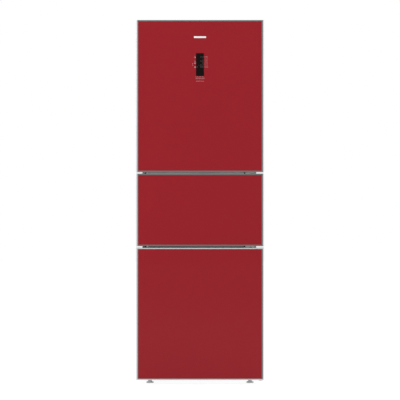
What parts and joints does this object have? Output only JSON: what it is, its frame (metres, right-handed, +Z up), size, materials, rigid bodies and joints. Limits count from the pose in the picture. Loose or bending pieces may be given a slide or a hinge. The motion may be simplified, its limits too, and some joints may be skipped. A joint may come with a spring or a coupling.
{
  "type": "fridge freezer",
  "caption": "Free-standing fridge freezer with a tall upper door, a short middle door and a lower freezer door of red glass, hinged on the right, with drawers, shelves and door bins inside.",
  "frame": {"origin": "on the floor under the middle of the whole body, doors included", "axes": "+Z up, -Y towards the front where the doors are, +X to the right seen from the front"},
  "size_m": [0.595, 0.65, 1.697],
  "materials": {
    "red_glass": "red printed tempered glass, glossy",
    "silver_trim": "satin silver",
    "cap_plastic": "fine-grained grey",
    "cabinet_paint": "silver-grey coated sheet",
    "zinc_sheet": "galvanised sheet",
    "foam": "rigid polyurethane foam",
    "white_liner": "white vacuum-formed plastic",
    "seal_rubber": "soft light grey",
    "hinge_steel": "zinc-plated",
    "bright_cap": "bright silver",
    "black_paint": "black enamel",
    "black_rubber": "matt black",
    "copper": "drawn copper",
    "duct_plastic": "white",
    "black_plastic": "black",
    "motor_steel": "bare steel",
    "fin_aluminium": "bare",
    "lamp_plastic": "frosted",
    "shelf_glass": "clear tempered glass",
    "crystal_plastic": "clear moulded plastic",
    "display_black": "black glossy window"
  },
  "bodies": {
    "cabinet": {"cabinet_shell": "cabinet_paint", "back_panel": "zinc_sheet", "wall_insulation": "foam", "inner_insulation": "foam", "fridge_liner": "white_liner", "middle_liner": "white_liner", "freezer_liner": "white_liner", "crossbars": "cabinet_paint", "top_hinge": "hinge_steel", "middle_hinges": "hinge_steel", "bottom_hinge": "hinge_steel", "hinge_screws": "hinge_steel", "hinge_cover": "cap_plastic", "gap_caps": "bright_cap", "base_tray": "zinc_sheet", "compressor": "black_paint", "compressor_mounts": "black_rubber", "refrigerant_pipes": "copper", "evaporation_tray": "duct_plastic", "rear_cover": "black_plastic", "mains_inlet": "black_plastic", "fridge_duct": "duct_plastic", "freezer_duct": "duct_plastic", "fan_motor": "motor_steel", "evaporator": "fin_aluminium", "lamp_lens": "lamp_plastic", "glass_shelves": "shelf_glass", "shelf_trims": "duct_plastic"},
    "upper_door": {"upper_door_glass": "red_glass", "upper_door_trims": "silver_trim", "upper_door_caps": "cap_plastic", "upper_door_foam": "foam", "upper_door_liner": "white_liner", "upper_door_seal": "seal_rubber", "display_panel": "display_black"},
    "middle_door": {"middle_door_glass": "red_glass", "middle_door_trims": "silver_trim", "middle_door_caps": "cap_plastic", "middle_door_foam": "foam", "middle_door_liner": "white_liner", "middle_door_seal": "seal_rubber"},
    "lower_door": {"lower_door_glass": "red_glass", "lower_door_trims": "silver_trim", "lower_door_caps": "cap_plastic", "lower_door_foam": "foam", "lower_door_liner": "white_liner", "lower_door_seal": "seal_rubber"},
    "crisper_drawer": {"crisper_drawer": "crystal_plastic"},
    "middle_drawer": {"middle_drawer": "crystal_plastic"},
    "freezer_drawer_top": {"freezer_drawer_top": "crystal_plastic"},
    "freezer_drawer_middle": {"freezer_drawer_middle": "crystal_plastic"},
    "freezer_drawer_bottom": {"freezer_drawer_bottom": "crystal_plastic"},
    "roller_left": {"roller_left": "black_plastic"},
    "roller_right": {"roller_right": "black_plastic"},
    "foot_left": {"foot_left": "black_plastic"},
    "foot_right": {"foot_right": "black_plastic"},
    "bin_top": {"bin_top": "crystal_plastic"},
    "bin_middle": {"bin_middle": "crystal_plastic"},
    "bin_bottom": {"bin_bottom": "crystal_plastic"},
    "fan": {"fan_blades": "black_plastic"}
  },
  "joints": [
    {"name": "upper_door_hinge", "type": "hinge", "parent": "cabinet", "child": "upper_door", "pos_m": [0.2845, -0.29, 1.33175], "axis": [0, 0, 1], "range_deg": [0, 120]},
    {"name": "middle_door_hinge", "type": "hinge", "parent": "cabinet", "child": "middle_door", "pos_m": [0.2845, -0.29, 0.8145], "axis": [0, 0, 1], "range_deg": [0, 120]},
    {"name": "lower_door_hinge", "type": "hinge", "parent": "cabinet", "child": "lower_door", "pos_m": [0.2845, -0.29, 0.331], "axis": [0, 0, 1], "range_deg": [0, 120]},
    {"name": "crisper_slide", "type": "slide", "parent": "cabinet", "child": "crisper_drawer", "axis": [0, -1, 0], "range_m": [0, 0.189]},
    {"name": "middle_drawer_slide", "type": "slide", "parent": "cabinet", "child": "middle_drawer", "axis": [0, -1, 0], "range_m": [0, 0.1576]},
    {"name": "freezer_drawer_top_slide", "type": "slide", "parent": "cabinet", "child": "freezer_drawer_top", "axis": [0, -1, 0], "range_m": [0, 0.1576]},
    {"name": "freezer_drawer_middle_slide", "type": "slide", "parent": "cabinet", "child": "freezer_drawer_middle", "axis": [0, -1, 0], "range_m": [0, 0.1576]},
    {"name": "freezer_drawer_bottom_slide", "type": "slide", "parent": "cabinet", "child": "freezer_drawer_bottom", "axis": [0, -1, 0], "range_m": [0, 0.1576]},
    {"name": "fan_spin", "type": "hinge", "parent": "cabinet", "child": "fan", "pos_m": [0, 0.2114, 0.5245], "axis": [0, 1, 0], "continuous": true},
    {"name": "roller_left_spin", "type": "hinge", "parent": "cabinet", "child": "roller_left", "pos_m": [-0.2315, 0.283, 0.016], "axis": [1, 0, 0], "continuous": true},
    {"name": "roller_right_spin", "type": "hinge", "parent": "cabinet", "child": "roller_right", "pos_m": [0.2315, 0.283, 0.016], "axis": [1, 0, 0], "continuous": true},
    {"name": "foot_left_level", "type": "slide", "parent": "cabinet", "child": "foot_left", "axis": [0, 0, -1], "range_m": [0, 0.012]},
    {"name": "foot_right_level", "type": "slide", "parent": "cabinet", "child": "foot_right", "axis": [0, 0, -1], "range_m": [0, 0.012]},
    {"name": "bin_top_lift", "type": "slide", "parent": "upper_door", "child": "bin_top", "axis": [0, 0, 1], "range_m": [0, 0.03]},
    {"name": "bin_middle_lift", "type": "slide", "parent": "upper_door", "child": "bin_middle", "axis": [0, 0, 1], "range_m": [0, 0.03]},
    {"name": "bin_bottom_lift", "type": "slide", "parent": "upper_door", "child": "bin_bottom", "axis": [0, 0, 1], "range_m": [0, 0.03]}
  ],
  "couplings": [
    {"joint": "crisper_slide", "follows": "upper_door_hinge", "m_per_rad": 0.09},
    {"joint": "middle_drawer_slide", "follows": "middle_door_hinge", "m_per_rad": 0.075},
    {"joint": "freezer_drawer_top_slide", "follows": "lower_door_hinge", "m_per_rad": 0.075},
    {"joint": "freezer_drawer_middle_slide", "follows": "lower_door_hinge", "m_per_rad": 0.075},
    {"joint": "freezer_drawer_bottom_slide", "follows": "lower_door_hinge", "m_per_rad": 0.075}
  ]
}
